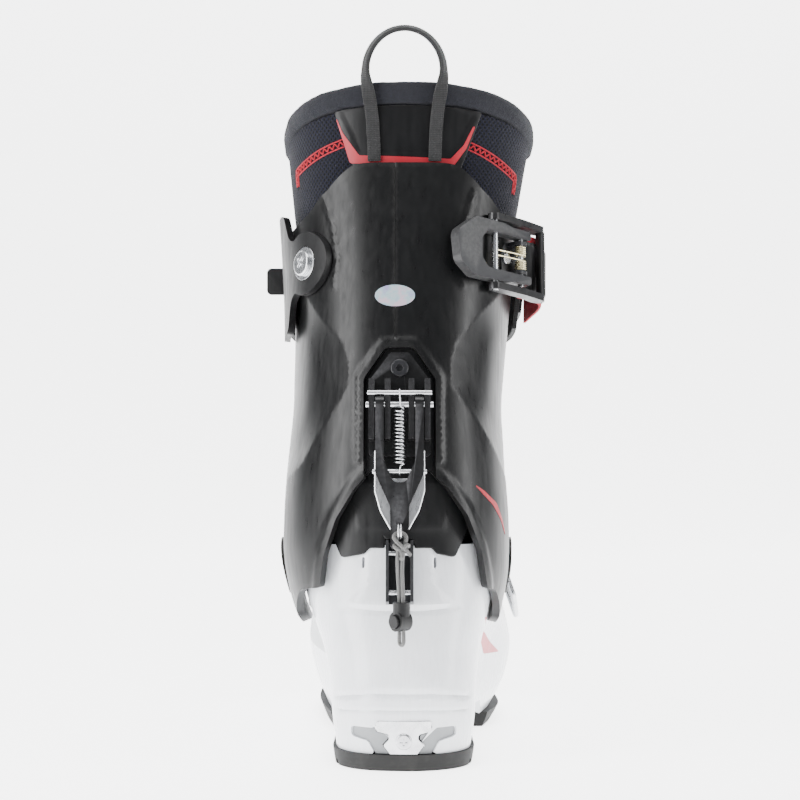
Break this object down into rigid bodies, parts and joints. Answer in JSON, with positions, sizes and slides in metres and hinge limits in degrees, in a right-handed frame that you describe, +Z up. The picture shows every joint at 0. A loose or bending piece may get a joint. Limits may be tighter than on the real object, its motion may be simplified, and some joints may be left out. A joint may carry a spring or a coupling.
{
  "type": "ski touring boot",
  "caption": "Right-foot ski touring boot: pale plastic shell, dark hinged cuff with buckled strap, padded liner, spring walk-mode lever and pin sockets for a touring binding.",
  "frame": {"origin": "on the ground under the middle of the heel pad, 34 mm ahead of the heel's rear end", "axes": "+X to the outer (lateral) side of this right boot, +Y towards the toe, +Z up"},
  "size_m": [0.1448, 0.308, 0.371],
  "materials": {
    "shell_plastic": "glossy off-white moulded shell",
    "cuff_plastic": "satin black moulded cuff",
    "dark_plastic": "satin dark grey plastic",
    "grey_plastic": "grey plastic",
    "sole_rubber": "black sole rubber",
    "gaiter_rubber": "soft black rubber",
    "liner_foam": "dark navy liner fabric on foam",
    "collar_fleece": "brushed navy collar fabric",
    "panel_plastic": "smooth black moulded liner panel",
    "insole_foam": "insole foam and cloth",
    "webbing": "woven black webbing",
    "strap_plastic": "moulded flexible black strap",
    "steel": "bright steel",
    "brass_steel": "yellow-plated spring wire",
    "dark_metal": "dark grey painted alloy",
    "black_metal": "black painted alloy",
    "silver_metal": "polished silver alloy",
    "cord": "grey braided cord"
  },
  "bodies": {
    "shell": {"lower_shell": "shell_plastic", "sole_heel_rubber": "sole_rubber", "sole_forefoot_rubber": "sole_rubber", "toe_pin_inserts": "steel", "heel_pin_plate": "steel", "heel_channel_inserts": "grey_plastic", "heel_plate_screw": "steel", "walk_catch": "dark_metal", "catch_pins": "steel", "heel_guard": "dark_plastic", "boot_board": "grey_plastic", "liner_foot": "liner_foam", "insole": "insole_foam", "instep_gaiter": "gaiter_rubber", "pivot_pins": "steel", "pivot_nuts": "steel", "instep_buckle_base": "dark_metal", "instep_buckle_pin": "steel", "instep_ladder_strap": "strap_plastic"},
    "cuff": {"cuff": "cuff_plastic", "pivot_caps": "dark_plastic", "walk_bracket": "dark_metal", "bracket_screw": "dark_metal", "bracket_nut": "steel", "lever_axle": "steel", "upper_spring_pin": "steel", "liner_shaft": "liner_foam", "liner_collar": "collar_fleece", "liner_tongue": "liner_foam", "liner_rear_panel": "panel_plastic", "liner_pull_loop": "webbing", "power_strap": "webbing", "strap_anchor": "strap_plastic", "strap_washer": "steel", "strap_screw": "steel", "strap_pull_tab": "strap_plastic", "strap_ladder": "strap_plastic", "cuff_buckle_base": "dark_metal", "cuff_buckle_spacer": "dark_plastic", "cuff_buckle_rivets": "steel", "cuff_buckle_pin": "steel"},
    "walk_lever": {"walk_lever": "black_metal", "walk_lever_core": "silver_metal", "lower_spring_pin": "steel", "walk_spring": "steel", "cord_rings": "steel", "pull_cord": "cord", "cord_lock_body": "dark_plastic"},
    "cord_lock_button": {"cord_lock_button": "dark_plastic"},
    "cuff_buckle_lever": {"cuff_buckle_lever": "dark_metal", "cuff_bail_axle": "steel", "cuff_buckle_springs": "brass_steel"},
    "cuff_buckle_bail": {"cuff_buckle_bail": "black_metal"},
    "instep_buckle_lever": {"instep_buckle_lever": "dark_metal"},
    "instep_buckle_bail": {"instep_bail": "steel"}
  },
  "joints": [
    {"name": "cuff_pivot", "type": "hinge", "parent": "shell", "child": "cuff", "pos_m": [0, 0.066, 0.093], "axis": [1, 0, 0], "range_deg": [-10, 12]},
    {"name": "walk_lever_hinge", "type": "hinge", "parent": "cuff", "child": "walk_lever", "pos_m": [-0.002, -0.03095, 0.17821], "axis": [-1, 0, 0], "range_deg": [0, 38], "stiffness_Nm_per_rad": 0.4, "deforming": ["walk_spring"]},
    {"name": "cord_lock_press", "type": "slide", "parent": "walk_lever", "child": "cord_lock_button", "axis": [0.76, 0.65, 0], "range_m": [0, 0.0018], "stiffness_N_per_m": 300},
    {"name": "cuff_buckle_hinge", "type": "hinge", "parent": "cuff", "child": "cuff_buckle_lever", "pos_m": [0.05947, 0.01818, 0.25224], "axis": [0, 0.2079, 0.9781], "range_deg": [0, 150]},
    {"name": "cuff_bail_hinge", "type": "hinge", "parent": "cuff_buckle_lever", "child": "cuff_buckle_bail", "pos_m": [0.04602, 0.00502, 0.25503], "axis": [0, 0.2079, 0.9781], "range_deg": [-150, 0]},
    {"name": "instep_buckle_hinge", "type": "hinge", "parent": "shell", "child": "instep_buckle_lever", "pos_m": [0.05258, 0.11872, 0.08644], "axis": [0.0913, 0.8811, -0.4641], "range_deg": [0, 140]},
    {"name": "instep_bail_hinge", "type": "hinge", "parent": "instep_buckle_lever", "child": "instep_buckle_bail", "pos_m": [0.04846, 0.12484, 0.09724], "axis": [0.0913, 0.8811, -0.4641], "range_deg": [-140, 0]}
  ],
  "couplings": [
    {"joint": "cuff_bail_hinge", "follows": "cuff_buckle_hinge", "ratio": -1},
    {"joint": "instep_bail_hinge", "follows": "instep_buckle_hinge", "ratio": -1}
  ]
}
